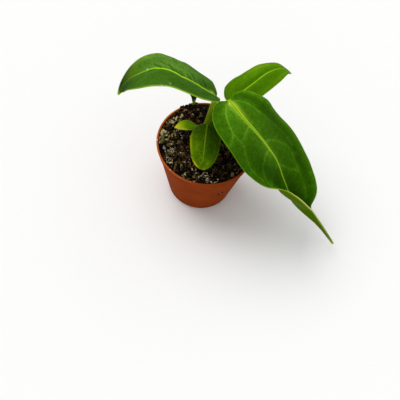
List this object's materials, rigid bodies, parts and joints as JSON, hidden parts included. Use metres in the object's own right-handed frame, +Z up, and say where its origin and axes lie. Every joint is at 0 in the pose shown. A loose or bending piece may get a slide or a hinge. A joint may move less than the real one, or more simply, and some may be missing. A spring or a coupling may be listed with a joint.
{
  "type": "potted queen anthurium",
  "caption": "Young queen anthurium with arching velvet leaves and a long drip tip, in a small round tapered nursery pot filled with chunky bark mix.",
  "frame": {"origin": "middle of the pot's flat underside", "axes": "+Z up along the pot's axis, +X along the spread of the two largest leaves, towards the leaf with the long drip tip, +Y away from the small leaf that hangs over the front"},
  "size_m": [0.1562, 0.0767, 0.1072],
  "materials": {
    "pot_plastic": "thin moulded orange-brown plastic, slightly glossy",
    "potting_mix": "moist dark bark mix with pale grains",
    "stem": "satin olive-green stalks",
    "leaf": "velvety green blades with paler veins"
  },
  "bodies": {
    "root": {"pot": "pot_plastic", "soil": "potting_mix", "crown": "stem", "petiole_left": "stem", "petiole_front": "stem", "petiole_back": "stem", "petiole_small": "stem", "petiole_tiny": "stem", "petiole_rear": "stem", "leaf_left": "leaf", "leaf_front": "leaf", "leaf_back": "leaf", "leaf_small": "leaf", "leaf_tiny": "leaf", "leaf_rear": "leaf"}
  },
  "joints": []
}
